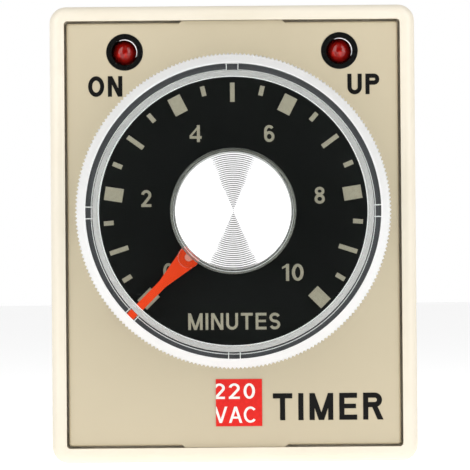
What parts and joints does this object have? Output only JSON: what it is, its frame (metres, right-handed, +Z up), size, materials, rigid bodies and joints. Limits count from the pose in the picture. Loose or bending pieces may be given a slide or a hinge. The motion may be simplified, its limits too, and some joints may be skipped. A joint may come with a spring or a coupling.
{
  "type": "plug-in dial timer",
  "caption": "Plug-in on-delay timer: cream moulded case, clear knurled dial knob with orange pointer over a black scale, indicator lamps, and an octal plug behind.",
  "frame": {"origin": "centre of the octal plug's seating face, on the plug's axis", "axes": "+Y out of the back along the plug pins, -Y towards the user, +X to the user's right, +Z up"},
  "size_m": [0.04, 0.0833, 0.05],
  "materials": {
    "case_cream": "smooth moulded satin",
    "panel_beige": "smooth moulded satin",
    "dial_black": "printed matt",
    "clear_acrylic": "polished clear",
    "spun_aluminium": "fine turned rings",
    "pointer_orange": "smooth",
    "label_red": "printed film",
    "label_silver": "printed film",
    "lamp_red": "tinted diffused",
    "plug_black": "moulded phenolic",
    "pin_nickel": "nickel plated",
    "zinc_steel": "zinc plated",
    "board_green": "solder masked laminate",
    "relay_cover_clear": "smoked",
    "coil_copper": "enamelled winding",
    "bobbin_white": "moulded",
    "contact_brass": "spring brass",
    "iron": "plated soft iron",
    "capacitor_yellow": "moulded",
    "capacitor_black": "shrink sleeve",
    "chip_black": "moulded epoxy",
    "tinned_wire": "tinned",
    "resistor_tan": "lacquered",
    "trimmer_blue": "moulded",
    "trimmer_white": "moulded",
    "wafer_brown": "phenolic laminate",
    "lead_white": "insulated"
  },
  "bodies": {
    "housing": {"case_shell": "case_cream", "front_panel": "panel_beige", "dial_disc": "dial_black", "side_label_left": "label_silver", "side_label_right": "label_silver", "voltage_label": "label_red", "pot_can": "zinc_steel", "pot_bush": "zinc_steel", "pot_washer": "zinc_steel", "pot_nut": "zinc_steel", "pot_wafer": "wafer_brown", "pot_terminals": "tinned_wire", "octal_base": "plug_black", "base_screw_upper": "zinc_steel", "base_screw_lower": "zinc_steel", "plug_leads": "lead_white", "relay_base": "chip_black", "relay_cover": "relay_cover_clear", "relay_pins": "tinned_wire", "relay_yoke": "iron", "relay_core": "iron", "relay_bobbin": "bobbin_white", "relay_coil": "coil_copper", "relay_closed_contact": "contact_brass", "relay_open_contact": "contact_brass", "main_board": "board_green", "front_board": "board_green", "board_header": "chip_black", "film_capacitor": "capacitor_yellow", "smoothing_capacitor": "capacitor_black", "timer_chip": "chip_black", "chip_legs": "tinned_wire", "rectifier_diodes": "chip_black", "resistors": "resistor_tan", "timing_capacitor": "capacitor_yellow", "trimmer_body": "trimmer_blue", "lamp_on": "lamp_red", "lamp_up": "lamp_red", "lamp_collar_on": "plug_black", "lamp_collar_up": "plug_black", "lamp_lead_wires": "tinned_wire", "plug_pin_1": "pin_nickel", "plug_pin_2": "pin_nickel", "plug_pin_3": "pin_nickel", "plug_pin_4": "pin_nickel", "plug_pin_5": "pin_nickel", "plug_pin_6": "pin_nickel", "plug_pin_7": "pin_nickel", "plug_pin_8": "pin_nickel"},
    "dial": {"dial_knob": "clear_acrylic", "knob_cap": "spun_aluminium", "pointer": "pointer_orange", "pot_shaft": "bobbin_white", "pot_wiper": "contact_brass"},
    "relay_arm": {"relay_armature": "iron", "relay_blade": "contact_brass"},
    "trimmer": {"trimmer_rotor": "trimmer_white"}
  },
  "joints": [
    {"name": "dial_turn", "type": "hinge", "parent": "housing", "child": "dial", "pos_m": [0, -0.06, 0.0023], "axis": [0, 1, 0], "range_deg": [0, 270]},
    {"name": "relay_armature_pull", "type": "hinge", "parent": "housing", "child": "relay_arm", "pos_m": [0.00985, -0.0278, -0.014], "axis": [0, 0, 1], "range_deg": [0, 3.2], "stiffness_Nm_per_rad": 0.02, "springref_deg": -2.86},
    {"name": "trimmer_turn", "type": "hinge", "parent": "housing", "child": "trimmer", "pos_m": [0.009, -0.0515, -0.014], "axis": [0, 1, 0], "range_deg": [-135, 135]}
  ]
}
